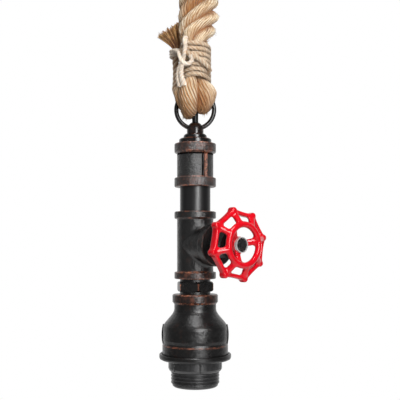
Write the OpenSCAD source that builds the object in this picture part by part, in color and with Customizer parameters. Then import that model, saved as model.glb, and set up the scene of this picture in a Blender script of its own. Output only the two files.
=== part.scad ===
// Pipe pendant light: a seized hemp rope eye carries a lamp stacked from black pipe fittings,
// with a red valve handwheel on the tee and an open lamp socket at the bottom.
// Millimetres, +Z up, origin at the ceiling, +X along the tee's branch.

/* [Ceiling rose] */
// diameter of the ceiling canopy
canopy_d = 100; // [92:1:130]
// height of the ceiling canopy
canopy_h = 24; // [22:1:32]
// distance between the two ceiling screws
screw_span = 60; // [50:1:70]
// length of the rope end cap
cap_len = 25; // [20:1:32]

/* [Rope] */
// full rope diameter
rope_d = 33; // [30:0.5:35]
// ceiling to the top of the ring wire
drop = 141; // [138:1:180]
// lashing twine diameter
twine_d = 3.8; // [3:0.1:4.2]
// lashing turns
twine_turns = 7; // [4:1:8]
// supply cable diameter
cable_d = 5.4; // [4.5:0.1:5.8]

/* [Hanging loop] */
// ring diameter on its wire centre
ring_d = 33.2; // [32:0.1:36]
// ring wire diameter
wire_d = 3.9; // [3.2:0.1:4.4]
// turn of the ring plane from the branch
loop_turn = 49.5; // [0:0.5:90]
// dome diameter
dome_d = 14.6; // [14:0.1:17]
// dome height above its step
dome_h = 11; // [10:0.1:14]
// step diameter under the dome
step_d = 20.4; // [18:0.1:24]

/* [Top coupling] */
// coupling length
coupling_len = 38; // [34:0.5:46]
// outside diameter of the end bands
band_d = 36.5; // [35:0.1:40]
// outside diameter between the bands
body_d = 31.8; // [31:0.1:34]
// height of the coupling bands
coupling_band = 8; // [6:0.1:10]
// bushing head diameter
bushing_d = 28.4; // [26:0.1:32]
// bushing head height
bushing_h = 4.4; // [3:0.1:8]

/* [Pipe and tee] */
// pipe outside diameter
pipe_d = 26.7; // [26.4:0.1:27.5]
// visible pipe length
pipe_len = 21.6; // [16:0.2:60]
// tee length along the run
tee_len = 59; // [56:0.5:70]
// height of the tee bands
tee_band = 6.2; // [5:0.1:8]

/* [Handwheel] */
// distance from the pipe axis to the outer rim
rim_reach = 53.9; // [52:0.1:58]
// wheel diameter on the rim's centre line
rim_d = 57.4; // [52:0.2:64]
// inner ring diameter on its centre line
hoop_d = 33.6; // [31:0.2:36]
// how far the inner ring stands in front of the rim
dish_depth = 7.1; // [6:0.1:9]
// thickness of the rim bars, seen along the spindle
bar_d = 3.8; // [3.2:0.1:4.4]
// width of the rim bars, measured along the spindle
bar_w = 7; // [6.4:0.1:7.6]
// how far each rim bar bows in between two knuckles
rim_bow = 0.8; // [0.5:0.1:2]
// thickness of the struts from the rim to the inner ring
strut_d = 5.8; // [5.2:0.1:6.2]
// width of the spokes
spoke_w = 6; // [5.4:0.1:6.6]
// turn of the wheel at rest
wheel_turn = 12.4; // [0:0.2:45]
// spindle diameter
spindle_d = 8; // [7:0.1:8.6]
// bonnet hexagon across flats
bonnet_af = 21.5; // [20:0.1:23]

/* [Hex nipple] */
// hexagon across flats
nipple_af = 29.3; // [28:0.1:31]
// hexagon height
nipple_h = 8.4; // [7:0.1:12]
// plain neck above and below the hexagon
nipple_neck = 2.5; // [2:0.1:5]

/* [Bell reducer] */
// bell diameter
bell_d = 57; // [56:0.2:60]
// bell length
bell_len = 53.4; // [52:0.2:62]
// diameter of the top band
bell_band_d = 40; // [38:0.2:44]
// neck diameter under the top band
bell_neck_d = 36.8; // [35.6:0.1:37]

/* [Socket] */
// outside diameter of the socket thread
thread_d = 42.4; // [41.6:0.1:42.8]
// thread pitch
thread_pitch = 2.9; // [2.4:0.1:3.2]
// socket body below the bell
socket_drop = 27.3; // [25:0.1:36]
// inside diameter of the screw shell
shell_d = 26.6; // [26.4:0.1:26.8]

/* [Shade dish] */
// how far the dish stands out beyond the bell
dish_lip = 3.1; // [2.4:0.1:6.5]
// dish height
dish_h = 5; // [4.4:0.1:7]
// ring nut diameter
nut_d = 47.2; // [45.6:0.1:50]
// ring nut height
nut_h = 9.5; // [8:0.1:11]

/* [Hidden] */
$fn = 64;
eps = 0.01;
gap = 0.1;
thread_r = pipe_d / 2 - 0.45;
bore_r = thread_r + gap;
m10_r = 4.8;
m10_bore = m10_r + gap;
cable_r = cable_d / 2;

canopy_r = canopy_d / 2;
sheet = 1.5;
bar_half = canopy_r - sheet - 1.9;
cap_top = -canopy_h;
cap_mouth = cap_top - cap_len;
cap_in = rope_d / 2 + 0.6;
cap_out = cap_in + 2.4;

ring_r = ring_d / 2;
wire_r = wire_d / 2;
z_ring = -drop;
z_ring_mid = z_ring - ring_r;
z_dome = z_ring_mid - ring_r + 6;
z_step = z_dome - dome_h;
step_h = 4;
z_bush = z_step - step_h;
z_coup = z_bush - bushing_h;
z_pipe = z_coup - coupling_len;
z_tee = z_pipe - pipe_len;
z_mid = z_tee - tee_len / 2;
z_tee_end = z_tee - tee_len;
z_hex = z_tee_end - nipple_neck;
z_hex_end = z_hex - nipple_h;
z_bell = z_hex_end - nipple_neck;
z_bell_end = z_bell - bell_len;
z_end = z_bell_end - socket_drop;
reach = tee_len / 2;

// Rope eye: the front leg, the turn under the ring wire and the back leg.
eye_r = 14;
leg_wide = rope_d / 2 + 1.5;
leg_top = leg_wide - 1.8;
leg_deep = 9.5;
turn_wide = ring_r - wire_r - 0.9;
turn_deep = 8.8;
lash_wide = 8.5;
lash_deep = 12.5;
lash_mid = 13.2;
lash_low = 3.4;
lash_pitch = twine_d + 0.55;
lash_high = lash_low + lash_pitch * twine_turns;
rope_top = drop + cap_top - 4.5;
rope_mouth = drop + cap_mouth;
rope_r = rope_d / 2;

function unit(v) = v / norm(v);
function lerp(a, b, t) = a + (b - a) * t;
function oval(p, side, deep, a, b, n) =
    [for (i = [0 : n - 1]) p + side * (a * cos(360 * i / n)) + deep * (b * sin(360 * i / n))];
function along(path, i) =
    unit(path[min(i + 1, len(path) - 1)] - path[max(i - 1, 0)]);

// Closed skin over a stack of rings that all have the same number of points.
module skin(rings) {
    n = len(rings[0]);
    last = len(rings) - 1;
    points = [for (ring = rings) each ring];
    walls = [for (k = [0 : last - 1]) for (i = [0 : n - 1]) each [
        [k * n + i, k * n + (i + 1) % n, (k + 1) * n + i],
        [k * n + (i + 1) % n, (k + 1) * n + (i + 1) % n, (k + 1) * n + i]]];
    first_cap = [for (i = [1 : n - 2]) [0, i + 1, i]];
    last_cap = [for (i = [1 : n - 2]) [last * n, last * n + i, last * n + i + 1]];
    polyhedron(points = points, faces = concat(first_cap, walls, last_cap), convexity = 8);
}

// Round tube along a path that never runs along `up`.
module tube(path, r, n, up = [1, 0, 0]) {
    skin([for (i = [0 : len(path) - 1])
        let (t = along(path, i), side = unit(cross(t, up)), deep = cross(t, side))
        oval(path[i], side, deep, r, r, n)]);
}

// Round bar between two points, tapered where it is given a second radius.
module rod(p, q, r, far_r = 0) {
    v = q - p;
    translate(p) rotate([0, acos(v[2] / norm(v)), atan2(v[1], v[0])])
        cylinder(r1 = r, r2 = far_r > 0 ? far_r : r, h = norm(v));
}

module at_eye() {
    translate([0, 0, z_ring]) rotate([0, 0, loop_turn]) children();
}

module at_branch(reach_x = 0) {
    translate([reach_x, 0, z_mid]) rotate([0, 90, 0]) children();
}

module pipe_ring(r_out, r_in, h) {
    difference() {
        cylinder(r = r_out, h = h);
        translate([0, 0, -1]) cylinder(r = r_in, h = h + 2);
    }
}

module hex_nut(af, r_in, h) {
    difference() {
        intersection() {
            cylinder(r = af / sqrt(3), h = h, $fn = 6);
            rotate_extrude() polygon([[0, 0], [af / 2, 0], [af / sqrt(3) + eps, 0.8],
                [af / sqrt(3) + eps, h - 0.8], [af / 2, h], [0, h]]);
        }
        translate([0, 0, -1]) cylinder(r = r_in, h = h + 2);
    }
}

// CEILING

module ceiling_canopy() {
    color([0.06, 0.06, 0.06])
    difference() {
        rotate_extrude() polygon([
            [m10_bore, -canopy_h], [canopy_r - 14, -canopy_h], [canopy_r - 8, -canopy_h + 1.2],
            [canopy_r - 3.5, -canopy_h + 4.4], [canopy_r - 0.9, -canopy_h + 9],
            [canopy_r, -canopy_h + 14], [canopy_r, 0], [canopy_r - sheet, 0],
            [canopy_r - sheet, -canopy_h + 14.2], [canopy_r - 2.3, -canopy_h + 9.6],
            [canopy_r - 4.6, -canopy_h + 5.5], [canopy_r - 8.6, -canopy_h + 2.7],
            [canopy_r - 14.2, -canopy_h + sheet], [m10_bore, -canopy_h + sheet]]);
        for (s = [0, 180]) rotate([0, 0, s]) translate([canopy_r - 4, 0, -5])
            rotate([0, 90, 0]) cylinder(r = 2.2, h = 8);
    }
}

module mounting_bar() {
    color([0.7, 0.7, 0.72])
    difference() {
        union() {
            translate([-bar_half, -8, -2]) cube([2 * bar_half, 16, 2]);
            for (s = [0, 180]) rotate([0, 0, s])
                translate([bar_half - 2.5, -8, -9]) cube([2.5, 16, 8]);
        }
        for (x = [-screw_span / 2, screw_span / 2])
            translate([x, 0, -5]) cylinder(r = 2.4, h = 10);
        for (s = [0, 180]) rotate([0, 0, s]) translate([bar_half - 6, 0, -5])
            rotate([0, 90, 0]) cylinder(r = 2.05, h = 8);
        cylinder(r = 5.5, h = 20, center = true);
    }
}

module canopy_screws() {
    color([0.7, 0.7, 0.72])
    for (s = [0, 180]) rotate([0, 0, s]) translate([canopy_r + 0.05, 0, -5]) rotate([0, 90, 0])
    difference() {
        union() {
            translate([0, 0, -7]) cylinder(r = 2, h = 7.5);
            cylinder(r = 3.6, h = 1.2);
            translate([0, 0, 1.2]) cylinder(r1 = 3.6, r2 = 2.4, h = 1);
        }
        translate([-3, -0.4, 1.4]) cube([6, 0.8, 2]);
    }
}

module terminal_block() {
    color([0.86, 0.86, 0.84])
    translate([8.5, -7, -11])
    difference() {
        cube([10, 14, 9 - 0.05]);
        for (y = [3.5, 10.5]) {
            translate([-1, y, 3.5]) rotate([0, 90, 0]) cylinder(r = 1.6, h = 12);
            translate([5, y, -1]) cylinder(r = 1.7, h = 3.5);
        }
    }
}

module cap_nipple() {
    color([0.72, 0.62, 0.34])
    translate([0, 0, cap_top - 4]) pipe_ring(m10_r, 3.7, 11.5);
}

module cap_nut() {
    color([0.72, 0.62, 0.34])
    translate([0, 0, cap_top + sheet + 0.05]) hex_nut(14, m10_bore, 3.5);
}

module rope_cap() {
    color([0.06, 0.06, 0.06])
    difference() {
        rotate_extrude() polygon([
            [m10_bore, cap_top - 0.05], [cap_out - 1.5, cap_top - 0.05], [cap_out, cap_top - 1.5],
            [cap_out, cap_mouth + 0.8], [cap_out - 0.8, cap_mouth], [cap_in, cap_mouth],
            [cap_in, cap_top - 3.5], [m10_bore, cap_top - 3.5]]);
        for (s = [0, 120, 240]) rotate([0, 0, s + 30]) translate([cap_in - 2, 0, cap_mouth + 9])
            rotate([0, 90, 0]) cylinder(r = 2.05, h = 8);
    }
}

module cap_screws() {
    color([0.3, 0.3, 0.3])
    for (s = [0, 120, 240]) rotate([0, 0, s + 30])
    translate([rope_r + 0.15, 0, cap_mouth + 9]) rotate([0, 90, 0])
    difference() {
        cylinder(r = 2, h = cap_out - rope_r - 0.5);
        translate([0, 0, cap_out - rope_r - 2]) cylinder(r = 1.1, h = 4, $fn = 6);
    }
}

// ROPE

// Stations of the rope: place on the centre line, half width and half depth.
rope_stations = [
    [0, 0, rope_top, rope_r, rope_r],
    [0, 0, rope_mouth + 10, rope_r, rope_r],
    [0.5, -0.5, rope_mouth, rope_r, rope_r],
    [2.5, -2, rope_mouth - 9, rope_r + 0.5, rope_r + 0.3],
    [3.4, -4.5, lerp(lash_high, rope_mouth, 0.62), rope_r + 0.5, rope_r],
    [2.8, -8, lerp(lash_high, rope_mouth, 0.3), rope_r - 2, rope_r - 2],
    [1.2, -12, lash_high + 4, lash_wide + 2.5, lash_deep + 0.6],
    [0.4, -lash_mid, lash_high - 1, lash_wide, lash_deep],
    [0, -lash_mid, lerp(lash_low, lash_high, 0.5), lash_wide, lash_deep],
    [0, -lash_mid, lash_low + 2.6, lash_wide, lash_deep],
    [0, -13.5, lash_low - 0.8, lash_wide + 1, lash_deep - 0.6],
    [0, -eye_r, 0, lerp(lash_wide, leg_top, 0.6), leg_deep + 1.2]];
turn_stations = [for (u = [15 : 15 : 165])
    let (open = min(1, max(0, (abs(90 - u) - 34) / 40)))
    [0, -eye_r * cos(u), -eye_r * sin(u),
     lerp(turn_wide, leg_wide, open), lerp(turn_deep, leg_deep, open)]];
back_stations = [
    [0, eye_r, 0, lerp(lash_wide, leg_top, 0.6), leg_deep + 1.2],
    [0, 13.5, lash_low - 0.8, lash_wide + 1, lash_deep - 0.6],
    [0, lash_mid, lash_low + 2.6, lash_wide, lash_deep],
    [0, lash_mid, lerp(lash_low, lash_high, 0.5), lash_wide, lash_deep],
    [-0.5, lash_mid, lash_high - 1, lash_wide, lash_deep - 0.3],
    [-1.5, lash_mid + 0.6, lash_high + 7, lash_wide + 1, lash_deep - 1]];
stations = concat(rope_stations, turn_stations, back_stations);
rope_line = [for (s = stations) [s[0], s[1], s[2]]];

// Route of the cable inside the rope, from the nipple to the ring wire.
core_line = [[0, 0, rope_top + 3], [0, 0, rope_top - 6], [0, -7, 0.8]];

module hemp_rope() {
    color([0.72, 0.58, 0.42])
    at_eye() difference() {
        skin([for (i = [0 : len(stations) - 1])
            let (s = stations[i], t = along(rope_line, i), deep = unit(cross(t, [1, 0, 0])))
            oval(rope_line[i], [1, 0, 0], deep, s[3], s[4], 16)]);
        rod(core_line[0], core_line[1], cable_r + 0.5);
        rod(core_line[1] + [0, 0, 1], core_line[2] - [0, 0, 6], cable_r + 0.6);
        translate([-cable_r - 0.6, 0, 0]) rotate([0, 90, 0]) rotate([0, 0, -38])
            rotate_extrude(angle = 76, $fn = 32) translate([2, 0]) square([26, cable_d + 1.2]);
        rotate([0, 90, 0]) rotate([0, 0, -95]) rotate_extrude(angle = 190, $fn = 48)
            translate([eye_r + leg_deep + 1.6, 0.7]) circle(r = 3.4, $fn = 10);
    }
}

module supply_cable() {
    color([0.05, 0.05, 0.05])
    translate([0, 0, z_ring]) tube(concat(
        [[7.8, 0, drop - 7.5], [5, 0, drop - 8.5], [2, 0, drop - 11], [0.3, 0, drop - 15]],
        [for (p = core_line) [p[0] * cos(loop_turn) - p[1] * sin(loop_turn),
            p[0] * sin(loop_turn) + p[1] * cos(loop_turn), p[2]]]), cable_r, 10, [0, 1, 0.001]);
}

// Twine wound round both legs of the eye in one unbroken run.
steps = 24;
lash_a = lash_wide + 1.6 + twine_d / 2;
lash_b = lash_mid + lash_deep + 0.5 + twine_d / 2;
function sgn_pow(v, e) = sign(v) * pow(abs(v), e);
function lash_at(t) = [lash_a * sgn_pow(cos(360 * t), 0.72), lash_b * sgn_pow(sin(360 * t), 0.72),
    lash_low + twine_d / 2 + lash_pitch * t];
lash_run = [for (i = [0 : steps * twine_turns]) lash_at(0.3 + i / steps) - [0, 0, 0.3 * lash_pitch]];
lash_n = len(lash_run) - 1;
lash_line = concat(
    [lash_run[0] - unit(lash_run[1] - lash_run[0]) * twine_d], lash_run,
    [lash_run[lash_n] + unit(lash_run[lash_n] - lash_run[lash_n - 1]) * twine_d]);
lash_gap = min([for (i = [0 : lash_n - steps + 2]) for (k = [-2 : 2])
    norm(lash_run[min(lash_n, i + steps + k)] - lash_run[i])]) - twine_d;
echo(lashing_gap_mm = lash_gap);

module lashing() {
    color([0.88, 0.8, 0.66])
    at_eye() tube(lash_line, twine_d / 2, 6, [0, 0, 1]);
}

// The loose strand that runs up beside the lashing and ends in a frayed brush.
tail_r = 3.2;
tail_x = -lash_a - twine_d / 2 - tail_r - 0.5;
tail_line = [[-leg_top * 0.92 - tail_r - 0.3, 10, -1], [-leg_top * 0.9 - tail_r - 0.2, 8.4, 6],
    [tail_x - 0.6, 6.4, 13], [tail_x - 1.5, 4.8, 22], [tail_x - 2.3, 3.6, 30], [tail_x - 2.6, 3, 37]];
tail_end = len(tail_line) - 1;

module rope_tail() {
    color([0.5, 0.38, 0.26])
    at_eye() tube(tail_line, tail_r, 10);
}

whip_r = 0.9;
whip_pitch = 2.4;
whip_turns = 3;
whip_mid = tail_line[tail_end - 1];
whip_lean = unit(tail_line[tail_end] - whip_mid);
whip_run = [for (i = [0 : steps * whip_turns])
    whip_mid + whip_lean * (whip_pitch * (i / steps - whip_turns / 2 + 1.2))
    + [cos(360 * i / steps), sin(360 * i / steps), 0] * (tail_r + whip_r + 0.35)];
whip_n = len(whip_run) - 1;
whip_gap = min([for (i = [0 : whip_n - steps]) norm(whip_run[i + steps] - whip_run[i])]) - 2 * whip_r;
echo(whipping_gap_mm = whip_gap);

module tail_whipping() {
    color([0.9, 0.84, 0.72])
    at_eye() tube(concat(
        [whip_run[0] - unit(whip_run[1] - whip_run[0]) * 2 * whip_r], whip_run,
        [whip_run[whip_n] + unit(whip_run[whip_n] - whip_run[whip_n - 1]) * 2 * whip_r]),
        whip_r, 6, [0, 0, 1]);
}

module rope_brush() {
    color([0.7, 0.52, 0.34])
    at_eye() let (base = tail_line[tail_end], lean = unit([-0.28, -0.1, 1])) skin([
        for (s = [[0.3, 2.9, 2.9], [4, 2.6, 2.6], [9, 4, 3.4], [15, 6.2, 4.6], [21, 7.6, 5.2], [24, 6.6, 4.4]])
        oval(base + lean * s[0], unit([1, 0, 0.28]), unit([0, 1, 0.1]), s[1], s[2], 12)]);
}

// LAMP

module hanging_loop() {
    color([0.05, 0.05, 0.05])
    difference() {
        union() {
            translate([0, 0, z_ring_mid]) rotate([0, 0, loop_turn]) rotate([90, 0, 0])
                rotate_extrude() translate([ring_r, 0]) circle(r = wire_r, $fn = 32);
            translate([0, 0, z_dome - dome_d / 2]) sphere(r = dome_d / 2);
            translate([0, 0, z_step]) cylinder(r = dome_d / 2, h = dome_h - dome_d / 2);
            translate([0, 0, z_bush]) rotate_extrude() polygon([[0, 0], [step_d / 2, 0],
                [step_d / 2, step_h - 1.6], [step_d / 2 - 0.5, step_h - 0.7],
                [step_d / 2 - 1.4, step_h], [0, step_h]]);
            translate([0, 0, z_bush - 9]) cylinder(r = m10_r, h = 10);
        }
        translate([0, 0, z_bush - 20]) cylinder(r = cable_r + 0.3, h = z_dome - z_bush + 30);
    }
}

module top_bushing() {
    color([0.06, 0.06, 0.06])
    difference() {
        translate([0, 0, z_coup]) rotate_extrude() polygon([
            [m10_bore, -12], [thread_r - 0.8, -12], [thread_r, -11], [thread_r, 0.02],
            [bushing_d / 2, 0.02], [bushing_d / 2, bushing_h - 0.9], [bushing_d / 2 - 0.9, bushing_h - 0.02],
            [m10_bore, bushing_h - 0.02]]);
    }
}

function banded(len_z, band_h, r_band, r_body) = let (c = 0.9, f = 1) [
    [r_body, band_h + f], [r_body + 0.3, band_h + 0.3], [r_body + f, band_h],
    [r_band - c, band_h], [r_band - 0.25, band_h - 0.25], [r_band, band_h - c],
    [r_band, c], [r_band - 0.25, 0.25], [r_band - c, 0]];

// Outside of a cast fitting: a beaded band at each end and a plain barrel between.
module banded_barrel(len_z, band_h, r_band, r_body) {
    low = banded(len_z, band_h, r_band, r_body);
    high = [for (i = [len(low) - 1 : -1 : 0]) [low[i][0], len_z - low[i][1]]];
    rotate_extrude() polygon(concat(low, [[0, 0], [0, len_z]], high));
}

module top_coupling() {
    color([0.07, 0.07, 0.07])
    translate([0, 0, z_pipe]) difference() {
        union() {
            banded_barrel(coupling_len, coupling_band, band_d / 2, body_d / 2);
            for (s = [-8.8, 171.2]) rotate([0, 0, s])
                translate([body_d / 2 - 2, -1.4, coupling_band - 1])
                cube([band_d / 2 - body_d / 2 + 1.6, 2.8, coupling_len - 2 * coupling_band + 2]);
        }
        translate([0, 0, -1]) cylinder(r = bore_r, h = 15);
        translate([0, 0, coupling_len - 14]) cylinder(r = bore_r, h = 15);
        cylinder(r = 11.4, h = coupling_len);
    }
}

module pipe_nipple() {
    color([0.1, 0.1, 0.1])
    translate([0, 0, z_tee]) difference() {
        union() {
            translate([0, 0, 0.02]) cylinder(r = pipe_d / 2, h = pipe_len - 0.04);
            translate([0, 0, -12]) cylinder(r = thread_r, h = pipe_len + 24);
        }
        translate([0, 0, -20]) cylinder(r = 10.5, h = pipe_len + 40);
    }
}

module pipe_tee() {
    color([0.07, 0.07, 0.07])
    difference() {
        union() {
            translate([0, 0, z_tee_end]) banded_barrel(tee_len, tee_band, band_d / 2, body_d / 2);
            at_branch() translate([0, 0, reach]) mirror([0, 0, 1])
                rotate_extrude() polygon(concat(
                    banded(reach, tee_band, band_d / 2, body_d / 2),
                    [[0, 0], [0, reach], [body_d / 2, reach]]));
        }
        translate([0, 0, z_tee_end - 1]) cylinder(r = 11.4, h = tee_len + 2);
        translate([0, 0, z_tee_end - 1]) cylinder(r = bore_r, h = 15);
        translate([0, 0, z_tee - 14]) cylinder(r = bore_r, h = 15);
        at_branch() cylinder(r = 11.4, h = reach + 1);
        at_branch(reach - 14) cylinder(r = bore_r, h = 15);
    }
}

// VALVE

bonnet_in = reach - 12.5;
bonnet_out = rim_reach - 9;
gland_out = bonnet_out + 3.6;
hub_in = gland_out + 0.4;
hub_out = rim_reach + 2.7;
hoop_x = rim_reach + dish_depth;

module valve_bonnet() {
    color([0.06, 0.06, 0.06])
    at_branch(bonnet_in) difference() {
        union() {
            cylinder(r = thread_r, h = reach - bonnet_in);
            translate([0, 0, 1]) intersection() {
                rotate([0, 0, 30]) cylinder(r = bonnet_af / sqrt(3), h = bonnet_out - bonnet_in - 1, $fn = 6);
                let (h = bonnet_out - bonnet_in - 1, r = bonnet_af / sqrt(3))
                rotate_extrude() polygon([[0, 0], [r + eps, 0], [r + eps, h - 1], [r - 1.6, h], [0, h]]);
            }
        }
        translate([0, 0, -1]) cylinder(r = spindle_d / 2 + 0.06, h = 80);
    }
}

module gland_nut() {
    color([0.1, 0.1, 0.1])
    at_branch(bonnet_out + 0.05) hex_nut(14, spindle_d / 2 + 0.35, 3.5);
}

stud_r = 2.5;
washer_r = 6.6;
washer_h = 1;
washer_lip = 0.8;
nut_h6 = 1.9;

module valve_spindle() {
    color([0.6, 0.58, 0.52])
    at_branch(bonnet_in - 4) difference() {
        union() {
            cylinder(r = spindle_d / 2, h = hub_in - bonnet_in + 4 - 0.05);
            cylinder(r = stud_r, h = hub_out + washer_h + nut_h6 + 0.2 - bonnet_in + 4);
        }
        translate([0, 0, 1.9]) pipe_ring(spindle_d, spindle_d / 2 - 0.8, 1.3);
    }
}

module spindle_clip() {
    color([0.4, 0.4, 0.42])
    at_branch(bonnet_in - 2.05) difference() {
        cylinder(r = spindle_d / 2 + 2.4, h = 1.1);
        translate([0, 0, -1]) cylinder(r = spindle_d / 2 - 0.75, h = 4);
        translate([-1.6, -20, -1]) cube([3.2, 20, 4]);
    }
}

bar_r = bar_d / 2;
strut_r = strut_d / 2;
knob_r = strut_r + 0.12;
knob_half = bar_w / 2 + 0.4;
knob_edge = 2.2;
hoop_tube = strut_r - 0.2;
spoke_r = 1.9;
spoke_root = [4, 0, hub_out - 3.2];
hoop_r = hoop_d / 2;
rim_r = rim_d / 2;

half_chord = rim_r * sin(22.5);
bow_r = (pow(half_chord, 2) + pow(rim_bow, 2)) / (2 * rim_bow);
bow_sweep = 2 * asin(half_chord / bow_r);

// A point of the wheel, given as angle, radius and reach along the axis.
function wheel_pt(a, r, x) = [r * cos(a), r * sin(a), x];

// Flat bar section with round edges, r thick each way and reaching y = half and its edge.
module strap(r, half) {
    square([2 * r, 2 * half], center = true);
    for (end = [-half, half]) translate([0, end]) circle(r = r, $fn = 24);
}

// Knuckle on the rim: a short drum along the spindle with well rounded edges.
module knuckle() {
    rotate_extrude() {
        translate([0, -knob_half]) square([knob_r - knob_edge, 2 * knob_half]);
        translate([0, knob_edge - knob_half]) square([knob_r, 2 * (knob_half - knob_edge)]);
        for (end = [-1, 1]) translate([knob_r - knob_edge, end * (knob_half - knob_edge)])
            intersection() {
                circle(r = knob_edge, $fn = 32);
                translate([0, -knob_edge]) square([knob_edge, 2 * knob_edge]);
            }
    }
}

// Spoke: a flat bar from inside the hub to the centre line of the inner ring.
module spoke() {
    let (v = [hoop_r, 0, hoop_x] - spoke_root)
    translate(spoke_root) rotate([0, atan2(v[0], v[2]), 0])
        linear_extrude(height = norm(v)) strap(spoke_r, spoke_w / 2 - spoke_r);
}

module handwheel() {
    color([0.8, 0.05, 0.08])
    translate([0, 0, z_mid]) rotate([90, 0, 90]) rotate([0, 0, wheel_turn]) difference() {
        union() {
            for (k = [0 : 7]) {
                p = wheel_pt(45 * k, rim_r, rim_reach);
                translate(p) knuckle();
                rotate([0, 0, 45 * k + 22.5])
                    translate([rim_r * cos(22.5) - rim_bow + bow_r, 0, rim_reach])
                    rotate([0, 0, 180 - bow_sweep / 2]) rotate_extrude(angle = bow_sweep)
                    translate([bow_r, 0]) strap(bar_r, bar_w / 2 - bar_r);
                rod(p, wheel_pt(45 * k, hoop_r, hoop_x), strut_r, hoop_tube - 0.1);
            }
            translate([0, 0, hoop_x]) rotate_extrude()
                translate([hoop_r, 0]) circle(r = hoop_tube, $fn = 32);
            for (k = [0, 120, 240]) rotate([0, 0, k]) spoke();
            translate([0, 0, hub_in]) cylinder(r = washer_r + 0.5, h = hub_out - hub_in);
        }
        translate([0, 0, hub_in - 1]) cylinder(r = stud_r + gap, h = 40);
        translate([0, 0, hub_out]) cylinder(r = washer_r + 0.3, h = 20);
    }
}

module wheel_washer() {
    color([0.75, 0.75, 0.76])
    at_branch(hub_out + 0.03) {
        pipe_ring(washer_r, stud_r + gap, washer_h - 0.05);
        pipe_ring(washer_r, washer_r - washer_lip, washer_h + nut_h6 - 0.4);
    }
}

module wheel_nut() {
    color([0.05, 0.05, 0.05])
    at_branch(hub_out + washer_h) {
        rotate([0, 0, 10]) hex_nut(9.2, stud_r + gap, nut_h6);
        pipe_ring(washer_r - washer_lip - 0.25, stud_r + gap, 0.7);
    }
}

// LOWER STACK

module hex_nipple() {
    color([0.08, 0.08, 0.08])
    let (r = nipple_af / sqrt(3), low = z_bell - 12, high = z_tee_end + 12)
    difference() {
        union() {
            translate([0, 0, low]) cylinder(r = thread_r, h = high - low);
            translate([0, 0, z_bell + 0.02]) cylinder(r = thread_r + 0.5, h = z_tee_end - z_bell - 0.04);
            translate([0, 0, z_hex_end]) intersection() {
                rotate([0, 0, -31]) cylinder(r = r, h = nipple_h, $fn = 6);
                rotate_extrude() polygon([[0, 0], [r - 1.9, 0], [r + eps, 1.4],
                    [r + eps, nipple_h - 1.4], [r - 1.9, nipple_h], [0, nipple_h]]);
            }
        }
        translate([0, 0, low - 1]) cylinder(r = m10_bore, h = 19);
        translate([0, 0, low + 17]) cylinder(r = 9, h = 40);
    }
}

bell_r = bell_d / 2;
bell_in = bell_r - 4.1;
neck_z = bell_len - 16.3;
flare_z = bell_len - 29;
seam_z = 9;
pad_rise = 1.1;

// Outline of a wrench pad: a slot shape along the bell.
module pad_outline(r) {
    square([11, 2 * r], center = true);
    for (end = [-5.5, 5.5]) translate([end, 0]) circle(r = r, $fn = 32);
}

module bell_reducer() {
    color([0.07, 0.07, 0.07])
    translate([0, 0, z_bell_end]) difference() {
        union() {
            rotate_extrude() polygon([
                [bell_in, 0], [bell_r - 0.3, 0], [bell_r + 0.35, 0.7], [bell_r + 0.35, seam_z - 0.3],
                [bell_r, seam_z], [bell_r - 0.5, seam_z + 2.2], [bell_r, seam_z + 4.6],
                for (i = [0 : 8]) let (t = i / 8)
                    [lerp(bell_r, bell_neck_d / 2, t * t * (3 - 2 * t)), lerp(flare_z - 0.9, neck_z + 3.4, t)],
                [bell_neck_d / 2, bell_len - 8.6], [bell_neck_d / 2 + 0.8, bell_len - 7.7],
                [bell_band_d / 2 - 0.9, bell_len - 7.6], [bell_band_d / 2, bell_len - 6.8],
                [bell_band_d / 2, bell_len - 0.9], [bell_band_d / 2 - 0.9, bell_len],
                [bore_r, bell_len], [bore_r, bell_len - 14], [bore_r, neck_z - 1],
                [bell_in, flare_z - 2]]);
            for (s = [47, 227]) rotate([0, 0, s]) translate([0, 0, seam_z + 9]) intersection() {
                translate([bell_r - 1.5, 0, 0]) rotate([0, 90, 0]) difference() {
                    linear_extrude(height = 4) pad_outline(3.5);
                    translate([0, 0, 1.9]) linear_extrude(height = 3) pad_outline(1.7);
                }
                rotate_extrude() polygon([[0, -10], for (z = [-10 : 2.5 : 10])
                    [bell_r + pad_rise - pow(z / 9, 2) * pad_rise, z], [0, 10]]);
            }
        }
    }
}

// SOCKET

stem_top = z_bell - 12 + 13;
cap_hub = z_bell_end + 24;
body_top = z_bell_end + 7;
thread_top = body_top - 0.5;
web_z = z_bell_end - 0.5;

module socket_stem() {
    color([0.72, 0.62, 0.34])
    translate([0, 0, cap_hub - 4.5]) pipe_ring(m10_r, 3.6, stem_top - cap_hub + 4.5);
}

module stem_locknut() {
    color([0.72, 0.62, 0.34])
    translate([0, 0, z_bell - 12 - 4.05]) hex_nut(16, m10_bore, 4);
}

module socket_cap() {
    color([0.12, 0.12, 0.12])
    rotate_extrude() polygon([
        [m10_bore, cap_hub - 5], [m10_bore, cap_hub], [8.5, cap_hub], [9, cap_hub - 3],
        [15.5, cap_hub - 6], [18.8, cap_hub - 9], [19.6, cap_hub - 12], [19.6, body_top + 0.05],
        [17.8, body_top + 0.05], [17.8, cap_hub - 10], [14.8, cap_hub - 8], [9, cap_hub - 5]]);
}

crest = thread_d / 2;
root = crest - 1;
thread_low = z_end + 2.6;
turns = floor((thread_top - thread_low) / thread_pitch);
function thread_teeth() = [for (k = [0 : turns - 1]) each [
    [root, thread_low + k * thread_pitch], [crest, thread_low + (k + 0.22) * thread_pitch],
    [crest, thread_low + (k + 0.62) * thread_pitch], [root, thread_low + (k + 0.84) * thread_pitch]]];

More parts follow.
